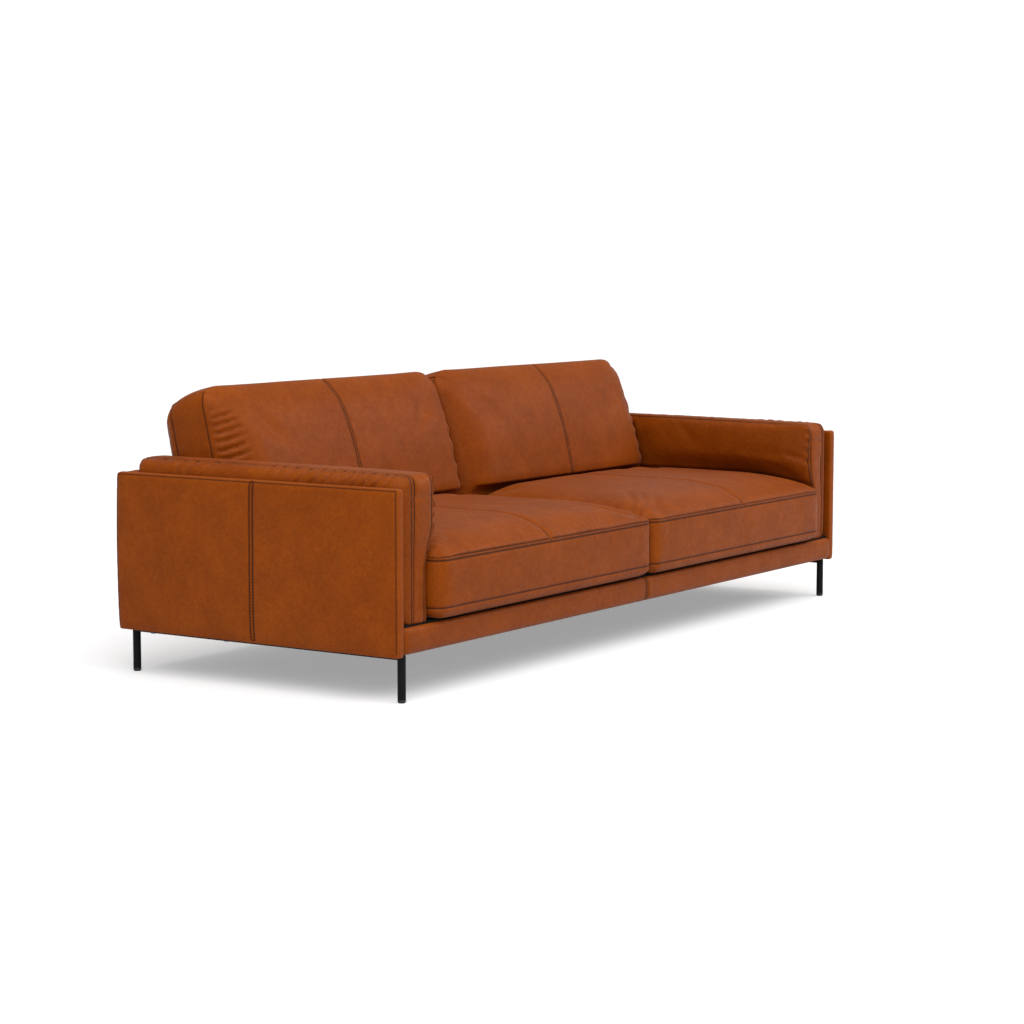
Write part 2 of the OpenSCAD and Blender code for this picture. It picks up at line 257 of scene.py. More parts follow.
class Wire:
    """A value on its way between shader nodes, which Python's operators work on."""

    def __init__(self, shade, socket):
        self.shade = shade
        self.socket = socket

    def _math(self, operation, first, second=0.0):
        return self.shade.node("ShaderNodeMath", {"operation": operation}, {0: first, 1: second})

    def __add__(self, other):
        return self._math("ADD", self, other)

    __radd__ = __add__

    def __sub__(self, other):
        return self._math("SUBTRACT", self, other)

    def __rsub__(self, other):
        return self._math("SUBTRACT", other, self)

    def __mul__(self, other):
        return self._math("MULTIPLY", self, other)

    __rmul__ = __mul__

    def __abs__(self):
        return self._math("ABSOLUTE", self)


class Shade:
    """One material's nodes. Any node comes from its type, its settings and its sockets."""

    def __init__(self, name, kept_in=None):
        self.material = (bpy.data.materials if kept_in is None else kept_in).new(name)
        self.material.use_nodes = True
        self.tree = self.material.node_tree
        self.tree.nodes.clear()

    def node(self, kind, settings=None, sockets=None, out=0):
        made = self.tree.nodes.new(kind)
        for key, value in (settings or {}).items():
            setattr(made, key, value)
        for key, value in (sockets or {}).items():
            socket = made.inputs[key]
            if isinstance(value, Wire):
                self.tree.links.new(value.socket, socket)
            elif socket.type == "RGBA":
                socket.default_value = (*value[:3], 1)
            else:
                socket.default_value = value
        return Wire(self, made.outputs[out]) if made.outputs else None

    def place(self):
        return self.node("ShaderNodeTexCoord", out="Object")

    def noise(self, scale, detail=2.0, roughness=0.5, vector=None):
        return self.node("ShaderNodeTexNoise", {"noise_dimensions": "3D"},
                         {"Vector": vector or self.place(), "Scale": scale, "Detail": detail,
                          "Roughness": roughness})

    def cells(self, scale, feature="F1", vector=None):
        return self.node("ShaderNodeTexVoronoi", {"feature": feature},
                         {"Vector": vector or self.place(), "Scale": scale}, out="Distance")

    def stretched(self, scale):
        """Object coordinates with each axis scaled by its own amount."""
        return self.node("ShaderNodeMapping", None, {"Vector": self.place(), "Scale": scale})

    def limits(self, value, low, high, to_low=0.0, to_high=1.0):
        return self.node("ShaderNodeMapRange", {"clamp": True},
                         {"Value": value, "From Min": low, "From Max": high, "To Min": to_low,
                          "To Max": to_high})

    def blend(self, factor, first, second):
        """A colour that goes from first to second as factor goes from 0 to 1."""
        return self.node("ShaderNodeMix", {"data_type": "RGBA"}, {0: factor, 6: first, 7: second}, out=2)

    def attribute(self, name):
        return self.node("ShaderNodeAttribute", {"attribute_name": name}, out="Fac")

    def relief(self, height, depth, strength=1.0, under=None):
        sockets = {"Height": height, "Distance": depth, "Strength": strength}
        if under:
            sockets["Normal"] = under
        return self.node("ShaderNodeBump", None, sockets)

    def finish(self, **sockets):
        """Ends the tree in one Principled shader and returns the material."""
        named = {key.replace("_", " "): value for key, value in sockets.items()}
        shader = self.node("ShaderNodeBsdfPrincipled", None, named)
        self.node("ShaderNodeOutputMaterial", None, {"Surface": shader})
        return self.material


# ---- Finishes ----


def leather(look):
    """Semi-aniline hide: clouded dye, pores and grain, a dark sewn line with painted groove shadow along
    its seams, lighter on worn ridges.
    """
    s = Shade("tan_leather")
    cloud = s.limits(s.noise(2.2, 4, 0.55), 0.36, 0.66)
    patch = s.limits(s.noise(11, 5, 0.62), 0.40, 0.62)
    mottle = s.limits(s.noise(58, 4, 0.65), 0.36, 0.66)
    fleck = s.limits(s.noise(190, 3, 0.6), 0.40, 0.66)
    pores = s.limits(s.cells(620), 0.10, 0.42)
    pebble = s.cells(330, "DISTANCE_TO_EDGE")
    veins = s.limits(s.noise(9, 5, 0.6, s.stretched((1.0, 1.0, 2.4))), 0.47, 0.55)
    colour = s.blend(cloud * 0.30 + mottle * 0.42, look.hide, look.hide_light)
    colour = s.blend((1 - patch) * 0.20 + (1 - fleck) * 0.26 + (1 - pores) * 0.12, colour, look.hide_dark)
    colour = s.blend(s.attribute("worn") * 0.35, colour, look.hide_light)
    # Both seam attributes hold a distance, where 1 is four times half the gap of a double seam
    single, double = s.attribute("single_seam"), abs(s.attribute("double_seam") - 0.25)
    # Along each seam the colour is painted darker: a narrow dark line where it is sewn, and a wider band
    # of painted groove shadow beside it
    off_line = s.limits(single, 0.055, 0.140) * s.limits(double, 0.055, 0.140)
    clear_of_groove_shadow = s.limits(single, 0.04, 0.30) * s.limits(double, 0.04, 0.30)
    deep = (1 - off_line) * 0.70 + (1 - clear_of_groove_shadow) * 0.30
    colour = s.blend(deep, colour, look.seam_shade)
    rough = look.roughness + 0.12 * (1 - mottle) + 0.06 * fleck + 0.10 * deep
    grain = s.limits(pebble, 0.0, 0.22) * 0.7 + pores * 0.3
    normal = s.relief(veins * 0.6 + cloud * 0.4, 0.0005, 0.5)
    normal = s.relief(grain, look.grain, 0.8, normal)
    return s.finish(Base_Color=colour, Roughness=rough, Normal=normal, Specular_IOR_Level=0.08,
                    Sheen_Weight=0.07, Sheen_Roughness=0.30)


def sewing_thread(look):
    s = Shade("sewing_thread")
    twist = s.node("ShaderNodeTexWave", {"wave_type": "BANDS", "bands_direction": "DIAGONAL"},
                   {"Vector": s.place(), "Scale": 900.0}, out="Fac")
    fuzz = s.noise(2400, 2)
    colour = s.blend(twist * 0.5 + fuzz * 0.2, look.thread, look.hide)
    return s.finish(Base_Color=colour, Roughness=0.62, Normal=s.relief(twist, 0.0002))


def black_powder_coat():
    s = Shade("black_powder_coat")
    peel = s.noise(900, 3)
    dust = s.limits(s.noise(14, 4), 0.45, 0.75)
    colour = s.blend(dust * 0.5, (0.0060, 0.0060, 0.0062), (0.011, 0.011, 0.0115))
    return s.finish(Base_Color=colour, Roughness=0.40 + 0.12 * dust, Normal=s.relief(peel, 0.00006),
                    Specular_IOR_Level=0.10)


def moulded_black_plastic():
    s = Shade("moulded_black_plastic")
    spark = s.noise(1600, 2)
    scuff = s.limits(s.noise(60, 4), 0.52, 0.70)
    colour = s.blend(scuff * 0.6, (0.012, 0.012, 0.012), (0.045, 0.043, 0.040))
    return s.finish(Base_Color=colour, Roughness=0.55 + 0.15 * scuff, Normal=s.relief(spark, 0.00008))


def zinc_plate():
    s = Shade("zinc_plate")
    spangle = s.cells(260)
    haze = s.noise(70, 4)
    colour = s.blend(spangle, (0.50, 0.50, 0.52), (0.66, 0.66, 0.66))
    return s.finish(Base_Color=colour, Metallic=1.0, Roughness=0.26 + 0.22 * haze,
                    Normal=s.relief(haze, 0.00005))


def oiled_spring_wire():
    s = Shade("oiled_spring_wire")
    draw = s.noise(60, 3, 0.6, s.stretched((30.0, 1.0, 30.0)))
    rust = s.limits(s.noise(35, 5), 0.60, 0.74)
    colour = s.blend(draw, (0.16, 0.16, 0.17), (0.28, 0.28, 0.29))
    colour = s.blend(rust * 0.5, colour, (0.12, 0.06, 0.03))
    return s.finish(Base_Color=colour, Metallic=0.9, Roughness=0.35 + 0.3 * rust,
                    Normal=s.relief(draw, 0.0001))


def birch_plywood():
    s = Shade("birch_plywood")
    along = s.node("ShaderNodeSeparateXYZ", None, {"Vector": s.place()}, out="X")
    plies = s.node("ShaderNodeMath", {"operation": "PINGPONG"}, {0: along, 1: 0.0015}) * 660
    figure = s.noise(7, 5, 0.6, s.stretched((2.0, 1.0, 9.0)))
    pores = s.noise(240, 3, 0.6, s.stretched((4.0, 0.15, 4.0)))
    colour = s.blend(s.limits(figure, 0.38, 0.64), (0.50, 0.33, 0.17), (0.63, 0.45, 0.26))
    colour = s.blend(plies * 0.22 + (1 - s.limits(pores, 0.35, 0.6)) * 0.2, colour, (0.33, 0.19, 0.09))
    return s.finish(Base_Color=colour, Roughness=0.62 + 0.1 * figure, Normal=s.relief(pores, 0.0002))


def sawn_beech():
    s = Shade("sawn_beech")
    rings = s.node("ShaderNodeTexWave", {"wave_type": "BANDS", "bands_direction": "Z"},
                   {"Vector": s.stretched((0.5, 0.5, 9.0)), "Scale": 6.0, "Distortion": 5.0,
                    "Detail": 3.0}, out="Fac")
    flecks = s.noise(420, 3, 0.6, s.stretched((0.2, 0.2, 1.0)))
    colour = s.blend(rings, (0.47, 0.27, 0.13), (0.60, 0.38, 0.21))
    colour = s.blend((1 - s.limits(flecks, 0.36, 0.55)) * 0.4, colour, (0.30, 0.15, 0.07))
    return s.finish(Base_Color=colour, Roughness=0.6 + 0.12 * rings, Normal=s.relief(flecks, 0.00025))


def black_felt():
    s = Shade("black_felt")
    fibres = s.noise(700, 5, 0.7)
    mat = s.noise(130, 3)
    colour = s.blend(fibres, (0.004, 0.004, 0.004), (0.020, 0.019, 0.018))
    return s.finish(Base_Color=colour, Roughness=0.95, Normal=s.relief(fibres * 0.7 + mat * 0.3, 0.0008),
                    Specular_IOR_Level=0.05)


def foam_block():
    s = Shade("foam_block")
    bubbles = s.cells(900)
    dust = s.noise(12, 4)
    colour = s.blend(s.limits(dust, 0.35, 0.7), (0.80, 0.72, 0.50), (0.86, 0.80, 0.62))
    colour = s.blend((1 - s.limits(bubbles, 0.1, 0.4)) * 0.35, colour, (0.55, 0.46, 0.28))
    return s.finish(Base_Color=colour, Roughness=0.9, Normal=s.relief(bubbles, 0.0006))


def fibre_liner():
    s = Shade("fibre_liner")
    weave = s.node("ShaderNodeTexWave", {"wave_type": "BANDS", "bands_direction": "X"},
                   {"Vector": s.place(), "Scale": 420.0}, out="Fac")
    weft = s.node("ShaderNodeTexWave", {"wave_type": "BANDS", "bands_direction": "Z"},
                  {"Vector": s.place(), "Scale": 420.0}, out="Fac")
    tufts = s.noise(22, 4)
    colour = s.blend(tufts, (0.78, 0.76, 0.70), (0.88, 0.87, 0.83))
    return s.finish(Base_Color=colour, Roughness=0.88, Normal=s.relief(weave * weft + tufts, 0.0006))


def zip_tape():
    s = Shade("zip_tape")
    rib = s.node("ShaderNodeTexWave", {"wave_type": "BANDS", "bands_direction": "X"},
                 {"Vector": s.place(), "Scale": 260.0}, out="Fac")
    fuzz = s.noise(1500, 2)
    colour = s.blend(rib * 0.6 + fuzz * 0.3, (0.020, 0.010, 0.006), (0.070, 0.034, 0.018))
    return s.finish(Base_Color=colour, Roughness=0.75, Normal=s.relief(rib, 0.0005))


FRAME_FINISHES = {
    "black_metal": black_powder_coat, "glide_plastic": moulded_black_plastic,
    "fastener_steel": zinc_plate, "spring_steel": oiled_spring_wire, "plywood": birch_plywood,
    "beech": sawn_beech, "black_cloth": black_felt, "foam": foam_block, "fibre_fill": fibre_liner,
    "zip_tape": zip_tape,
}


def shared_finish(name, make, *looks):
    """A finish that several pieces wear, made once."""
    return bpy.data.materials.get(name) or make(*looks)


# ---- Working a cover ----


def stand(name, data):
    """A new object in the scene."""
    made = bpy.data.objects.new(name, data)
    bpy.context.scene.collection.objects.link(made)
    return made


def flip(mesh):
    """Turns a right-hand mesh into a left-hand one."""
    made = bmesh.new()
    made.from_mesh(mesh)
    bmesh.ops.scale(made, vec=(-1, 1, 1), verts=made.verts)
    bmesh.ops.reverse_faces(made, faces=made.faces)
    made.to_mesh(mesh)
    made.free()


def rows(items, key):
    """A vector that each item holds, as rows of three numbers."""
    flat = np.empty(len(items) * 3, np.float32)
    items.foreach_get(key, flat)
    return flat.reshape(-1, 3).astype(float)


def soft_step(x, low, high):
    t = np.clip((x - low) / (high - low), 0, 1)
    return t * t * (3 - 2 * t)


def hump(x, centre, width):
    return np.exp(-((x - centre) / width) ** 2)


def valleys(x, pitch, width, sway=0.0):
    """A row of narrow folds a pitch apart: 1 at the bottom of each. Sway, in radians, bends the row."""
    return np.exp(-(np.sin(x / pitch * math.pi + sway) / width) ** 2)


def ripple(points, scale, seed, octaves=2):
    """Smooth noise at each point, from about -1 to 1."""
    shift = Vector((seed * 3.7, seed * 1.3, seed * 2.1))
    scale = Vector(scale)
    return np.array([noise.fractal(Vector(p) * scale + shift, 1.0, 2.0, octaves) for p in points])


def stations(low, high, step, marks=()):
    """Grid lines from low to high, about a step apart, with one on every mark."""
    stops = sorted({low, high, *(m for m in marks if low < m < high)})
    lines = [low]
    for near, far in zip(stops, stops[1:]):
        count = max(1, round((far - near) / step))
        lines += [near + (far - near) * i / count for i in range(1, count + 1)]
    return lines


# Grid lines close to an edge, where a dome rises steeply
CLOSE = (0.0016, 0.0052, 0.0108, 0.0185, 0.0285)


def domed_stations(low, high, step, marks=()):
    """Grid lines that crowd towards both ends, for a face that swells."""
    return stations(low, high, step, [*marks, *(low + c for c in CLOSE), *(high - c for c in CLOSE)])


def around(*marks):
    """Each mark with a line on either side of it, for a seam to sit in."""
    return [m + d for m in marks for d in (-GAP, 0, GAP)]


class Dome:
    """How a face swells: the height, the reach in from each edge, and how full the curve is."""

    def __init__(self, height, reach, power=2.0):
        self.height = height
        self.reach = reach
        self.power = power

    def rise(self, places, low, high):
        rise = np.full(len(places), self.height)
        for axis, spans in enumerate(self.reach):
            gaps = (places[:, axis] - low[axis], high[axis] - places[:, axis])
            for gap, span in zip(gaps, spans):
                short = np.clip(1 - gap / span, 0, 1)
                rise *= (1 - short ** self.power) ** (1 / self.power)
        return rise


class Cover:
    """A leather cover in the making. Its cut attribute holds each point's place on the flat block."""

    def __init__(self, name, xs, ys, zs, turn=1):
        block = bmesh.new()
        bmesh.ops.create_cube(block, size=1)
        for axis, lines in enumerate((xs, ys, zs)):
            edges = [e for e in block.edges if abs((e.verts[0].co - e.verts[1].co)[axis]) > TINY]
            bmesh.ops.subdivide_edges(block, edges=edges, cuts=len(lines) - 2, use_grid_fill=True)
        for v in block.verts:
            for axis, lines in enumerate((xs, ys, zs)):
                v.co[axis] = lines[round((v.co[axis] + 0.5) * (len(lines) - 1))]
        bmesh.ops.recalc_face_normals(block, faces=block.faces)
        mesh = bpy.data.meshes.new(name)
        block.to_mesh(mesh)
        block.free()
        cut = mesh.attributes.new("cut", "FLOAT_VECTOR", "POINT")
        cut.data.foreach_set("vector", rows(mesh.vertices, "co").astype(np.float32).ravel())
        self.piece = stand(name, mesh)
        self.low = np.array([xs[0], ys[0], zs[0]])
        self.high = np.array([xs[-1], ys[-1], zs[-1]])
        self.turn = turn

    @property
    def cut(self):
        return rows(self.piece.data.attributes["cut"].data, "vector")

    @property
    def points(self):
        return rows(self.piece.data.vertices, "co")

    @points.setter
    def points(self, places):
        self.piece.data.vertices.foreach_set("co", places.astype(np.float32).ravel())
        self.piece.data.update()

    @property
    def normals(self):
        return rows(self.piece.data.vertex_normals, "vector")

    def rounded(self, radii_low, radii_high, power=2.0):
        """The block's points with edges rounded by an own radius along each axis and at each end."""
        cut = self.cut
        low, high = np.array(radii_low), np.array(radii_high)
        core = np.clip(cut, self.low + low, self.high - high)
        reach = cut - core
        radii = np.where(reach < 0, low, high)
        away = np.abs(reach) / radii
        length = (away ** power).sum(axis=1) ** (1 / power)
        return core + reach / np.maximum(length, 1e-9)[:, None]

    def boxed(self, axis, corners, domes):
        """Rounds the block's corners as seen along axis and swells the two faces across it into domes."""
        cut = self.cut
        points = cut.copy()
        plan = [i for i in range(3) if i != axis]
        near, far = np.array(corners).T
        core = np.clip(cut[:, plan], self.low[plan] + near, self.high[plan] - far)
        reach = cut[:, plan] - core
        away = np.abs(reach) / np.where(reach < 0, near, far)
        share = away.max(axis=1) / np.maximum(np.linalg.norm(away, axis=1), TINY)
        points[:, plan] = core + reach * share[:, None]
        for dome, face, turn in ((domes[0], cut[:, axis] <= self.low[axis] + TINY, -1),
                                 (domes[1], cut[:, axis] >= self.high[axis] - TINY, 1)):
            rise = dome.rise(cut[:, plan], self.low[plan], self.high[plan])
            points[:, axis] += turn * face * rise
        return points

    def refine(self):
        """One subdivision, applied."""
        rounder = self.piece.modifiers.new("Refine", "SUBSURF")
        rounder.levels = rounder.render_levels = 1
        graph = bpy.context.evaluated_depsgraph_get()
        mesh = bpy.data.meshes.new_from_object(self.piece.evaluated_get(graph))
        self.piece.modifiers.clear()
        old, self.piece.data = self.piece.data, mesh
        bpy.data.meshes.remove(old)

    def press(self, depth):
        """Moves each point out along its normal by depth, or in where depth is negative."""
        self.points = self.points + self.normals * depth[:, None]

    def note(self, name, values):
        """Keeps a value from 0 to 1 at each point for the finish to read."""
        mesh = self.piece.data
        kept = mesh.attributes.get(name) or mesh.attributes.new(name, "FLOAT", "POINT")
        kept.data.foreach_set("value", np.clip(values, 0, 1).astype(np.float32))


class Seam:
    """A sewn line on the flat-sided block: its corners, the way across it and whether it is double."""

    def __init__(self, corners, across, double=False, shut=False):
        self.corners = [np.array(c, float) for c in corners]
        if shut:
            self.corners.append(self.corners[0])
        self.across = np.array(across, float)
        self.double = double

    def spans(self):
        return list(zip(self.corners, self.corners[1:]))

    def distance(self, cut):
        """Distance from each point of the block to the seam."""
        nearest = np.full(len(cut), 9.0)
        for a, b in self.spans():
            along = b - a
            t = np.clip((cut - a) @ along / (along @ along), 0, 1)
            nearest = np.minimum(nearest, np.linalg.norm(cut - a - t[:, None] * along, axis=1))
        return nearest

    def places(self, pitch, shift):
        """Pairs of points, the two ends of each stitch, in a row moved sideways by shift."""
        for a, b in self.spans():
            length = np.linalg.norm(b - a)
            count = max(1, round(length / pitch))
            for i in range(count):
                yield (a + (b - a) * (i + 0.14) / count + self.across * shift,
                       a + (b - a) * (i + 0.86) / count + self.across * shift)


def sink_seams(cover, seams, look):
    """Pulls the leather in along its seams, puckers it beside them, and notes how far off they are."""
    cut = cover.cut
    depth = np.zeros(len(cut))
    near = {False: np.full(len(cut), 1.0), True: np.full(len(cut), 1.0)}
    pucker = ripple(cut, (70, 70, 70), 5.0, 1)
    for seam in seams:
        far = seam.distance(cut)
        depth -= look.groove * hump(far, look.double_gap if seam.double else 0.0, look.groove_width)
        depth += 0.35 * look.groove * pucker * hump(far, 0.012, 0.008)
        near[seam.double] = np.minimum(near[seam.double], far / look.double_gap / 4)
    cover.press(depth)
    cover.note("single_seam", near[False])
    cover.note("double_seam", near[True])


def sew(cover, seams, name, look):
    """Lays a row of stitches along each seam, two rows where it is double, and returns the piece."""
    mesh = cover.piece.data
    cut, points = cover.cut, cover.points
    quads = [tuple(p.vertices) for p in mesh.polygons]
    tree = BVHTree.FromPolygons([Vector(c) for c in cut], quads)

    def on_cover(place):
        spot, _, index, _ = tree.find_nearest(Vector(place))
        a, b, c, d = quads[index]
        along, up = cut[b] - cut[a], cut[d] - cut[a]
        u = float(np.clip((np.array(spot) - cut[a]) @ along / max(along @ along, TINY ** 2), 0, 1))
        v = float(np.clip((np.array(spot) - cut[a]) @ up / max(up @ up, TINY ** 2), 0, 1))
        real = ((1 - u) * (1 - v) * points[a] + u * (1 - v) * points[b]
                + u * v * points[c] + (1 - u) * v * points[d])
        return Vector(real), Vector(np.cross(points[c] - points[a], points[d] - points[b])).normalized()

    made = bmesh.new()
    for seam in seams:
        for shift in ((-look.double_gap, look.double_gap) if seam.double else (0.0,)):
            for start, end in seam.places(look.stitch_pitch, shift):
                (a, up), (b, _) = on_cover(start), on_cover(end)
                run = b - a
                if run.length < look.stitch * 0.25 or run.length > look.stitch * 3:
                    continue
                across = up.cross(run).normalized()
                half = run.length / 2
                axes = Matrix((run.normalized() * half, across * look.thread_radius,
                               up * look.thread_radius)).transposed().to_4x4()
                lift = (a + b) / 2 + up * look.thread_radius * 0.35
                bmesh.ops.create_icosphere(made, subdivisions=1, radius=1,
                                           matrix=Matrix.Translation(lift) @ axes)
    bmesh.ops.recalc_face_normals(made, faces=made.faces)
    thread = bpy.data.meshes.new(name)
    made.to_mesh(thread)
    made.free()
    for p in thread.polygons:
        p.use_smooth = True
    return stand(name, thread)


def swell(covers, held, pressure, slack, most):
    """Lets covers swell and crease as cloth under pressure. Held points stay, none goes past most."""
    scene = bpy.context.scene
    before = []
    for cover, hold in zip(covers, held):
        piece = cover.piece
        before.append(cover.points)
        pins = piece.vertex_groups.new(name="held")
        pins.add(np.flatnonzero(hold).tolist(), 1.0, "REPLACE")
        cloth = piece.modifiers.new("Cloth", "CLOTH")
        settings = cloth.settings
        settings.quality = 4
        settings.mass = 0.4
        settings.tension_stiffness = settings.compression_stiffness = 18
        settings.shear_stiffness = 6
        settings.bending_stiffness = 1.2
        settings.shrink_min = -slack
        settings.use_pressure = True
        settings.uniform_pressure_force = pressure
        settings.effector_weights.gravity = 0
        settings.vertex_group_mass = pins.name
        cloth.point_cache.frame_start, cloth.point_cache.frame_end = 1, CLOTH_FRAMES
    for number in range(1, CLOTH_FRAMES + 1):
        scene.frame_set(number)
    graph = bpy.context.evaluated_depsgraph_get()
    moved = []
    for cover in covers:
        moved.append(rows(cover.piece.evaluated_get(graph).data.vertices, "co"))
    for cover, old, new in zip(covers, before, moved):
        cover.piece.modifiers.clear()
        cover.piece.vertex_groups.clear()
        step = new - old
        length = np.linalg.norm(step, axis=1)
        kept = most * np.tanh(length / most) / np.maximum(length, TINY)
        cover.points = old + step * kept[:, None]
    scene.frame_set(1)


def dress(piece, body, finish, replaced=()):
    """Gives a finished piece its material, body, slot and the CAD nodes it stands for."""
    piece.data.materials.append(finish)
    for p in piece.data.polygons:
        p.use_smooth = True
    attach(piece, body)
    if replaced:
        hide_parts(*replaced)


def upholster(context, cover, seams, worn, body, replaced):
    """Notes wear, sews the seams and dresses a cover in leather."""
    cover.note("worn", worn)
    look = context.scene
    thread = sew(cover, seams, cover.piece.name + "_stitches", look.sofa_seams)
    if cover.turn < 0:
        flip(cover.piece.data)
        flip(thread.data)
    hide = shared_finish("tan_leather", leather, look.sofa_leather)
    dress(cover.piece, body, hide, replaced)
    dress(thread, body, shared_finish("sewing_thread", sewing_thread, look.sofa_leather))


def right_box(node):
    """A right-hand node's corners."""
    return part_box("right_" + node)


# ---- Pieces ----


class SOFA_OT_frame_finish(bpy.types.Operator):
    """Gives every piece of the frame that shows its metal, wood, felt, foam or plastic"""

    bl_idname = "mesh.sofa_frame_finish"
    bl_label = "Frame Finishes"

    def execute(self, context):
        slots = {part["node"]: part["material_slot"] for part in frame["record"]["subparts"]}
        for name, node in frame["nodes"].items():
            make = FRAME_FINISHES.get(slots[name])
            if make is None:
                continue
            finish = shared_finish(make.__name__, make)
            node.data.materials.clear()
            node.data.materials.append(finish)
        return {"FINISHED"}


class SOFA_OT_side_panels(bpy.types.Operator):
    """Padded side panels with a sewn front and top edge and a double seam down the middle"""

    bl_idname = "mesh.sofa_side_panels"
    bl_label = "Side Panels"

    def execute(self, context):
        look = context.scene.sofa_panel
        low, high = right_box("side_cover")
        low.z -= look.under
        middle = (low.y + high.y) / 2
        # The edge seams lie this far in
        edge = 0.004
        for side, turn in SIDES:
            xs = stations(low.x, high.x, 0.007)
            ys = stations(low.y, high.y, 0.017, around(low.y + edge, middle, high.y - edge))
            zs = stations(low.z, high.z, 0.017, around(high.z - edge))
            cover = Cover(side + "_side_panel", xs, ys, zs, turn)
            cover.points = cover.rounded((0.006, 0.010, 0.005), (0.009, 0.012, 0.010), 2.4)
            cover.refine()
            cut, points = cover.cut, cover.points
            u = (cut[:, 1] - middle) / (high.y - middle)
            v = (cut[:, 2] - (low.z + high.z) / 2) / ((high.z - low.z) / 2)
            outer = soft_step(cut[:, 0], low.x, high.x)
            pad = (1 - np.abs(u) ** 6) * (1 - np.abs(v) ** 5)
            between = 0.75 + 0.25 * (1 - hump(u, 0, 0.10))
            points[:, 0] += outer * look.side_bulge * pad * between
            points[:, 0] += outer * pad * 0.0012 * ripple(cut * turn, (4, 6, 5), 1.0)
            points[:, 1] += 0.006 * soft_step(u, 0.94, 1) * (1 - v ** 2)
            cover.points = points
            x = high.x
            seams = [
                Seam([(x, low.y + edge, low.z + 0.01), (x, low.y + edge, high.z - edge)], (0, 1, 0)),
                Seam([(x, low.y + edge, high.z - edge), (x, high.y - edge, high.z - edge)], (0, 0, 1)),
                Seam([(x, high.y - edge, low.z + 0.01), (x, high.y - edge, high.z - edge)], (0, 1, 0)),
                Seam([(x, middle, low.z + 0.01), (x, middle, high.z - edge)], (0, 1, 0), True),
            ]
            sink_seams(cover, seams, context.scene.sofa_seams)
            worn = hump(cut[:, 2], high.z, 0.010) + hump(cut[:, 1], low.y, 0.004) * 0.6
            upholster(context, cover, seams, worn, "frame", [side + "_side_cover"])
        return {"FINISHED"}


class SOFA_OT_back_panel(bpy.types.Operator):
    """Padded back panel with a sewn top edge and a double seam down the middle"""

    bl_idname = "mesh.sofa_back_panel"
    bl_label = "Back Panel"

    def execute(self, context):
        look = context.scene.sofa_panel
        low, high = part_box("back_panel_cover")
        edge = 0.007
        middle = (low.z + high.z) / 2
        xs = stations(low.x, high.x, 0.024, around(0.0))
        ys = stations(low.y, high.y, 0.008)
        zs = stations(low.z, high.z, 0.020, around(high.z - edge))
        cover = Cover("back_panel", xs, ys, zs)
        cover.points = cover.rounded((0.004, 0.010, 0.010), (0.004, 0.010, 0.010), 2.2)
        cover.refine()
        cut, points = cover.cut, cover.points
        u, v = cut[:, 0] / high.x, (cut[:, 2] - middle) / (high.z - middle)
        rear = soft_step(cut[:, 1], low.y, high.y)
        pad = (1 - np.abs(u) ** 8) * (1 - np.abs(v) ** 4) * (0.7 + 0.3 * (1 - hump(cut[:, 0], 0, 0.06)))
        points[:, 1] += rear * pad * (look.back_bulge + 0.0015 * ripple(cut, (4, 4, 5), 2.0))
        cover.points = points
        y = high.y
        seams = [Seam([(low.x, y, high.z - edge), (high.x, y, high.z - edge)], (0, 0, 1)),
                 Seam([(0, y, low.z + 0.01), (0, y, high.z - edge)], (1, 0, 0), True)]
        sink_seams(cover, seams, context.scene.sofa_seams)
        upholster(context, cover, seams, hump(cut[:, 2], high.z, 0.010), "frame",
                  ["back_panel_cover"])
        return {"FINISHED"}


class SOFA_OT_front_rail(bpy.types.Operator):
    """Padded leather round the front rail, sewn double in the middle"""

    bl_idname = "mesh.sofa_front_rail"
    bl_label = "Front Rail"

    def execute(self, context):
        look = context.scene.sofa_panel
        low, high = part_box("front_rail_cover")
        middle = (low.z + high.z) / 2
        xs = stations(low.x, high.x, 0.016, around(0.0))
        ys = stations(low.y, high.y, 0.007)
        zs = stations(low.z, high.z, 0.010)
        cover = Cover("front_rail", xs, ys, zs)
        cover.points = cover.rounded((0.003, 0.010, 0.010), (0.003, 0.002, 0.002), 2.0)
        cover.refine()
        cut, points = cover.cut, cover.points
        v = (cut[:, 2] - middle) / (high.z - middle)
        front = 1 - soft_step(cut[:, 1], low.y, high.y)
        wave = ripple(cut, (9, 4, 6), 3.0)
        points[:, 1] -= front * (1 - np.abs(v) ** 3) * (look.rail_bulge + 0.0012 * wave)
        cover.points = points
        seams = [Seam([(0, low.y, low.z), (0, low.y, high.z), (0, high.y, high.z)], (1, 0, 0), True)]
        sink_seams(cover, seams, context.scene.sofa_seams)
        upholster(context, cover, seams, 0.5 * hump(v, 1, 0.3), "frame", ["front_rail_cover"])
        return {"FINISHED"}


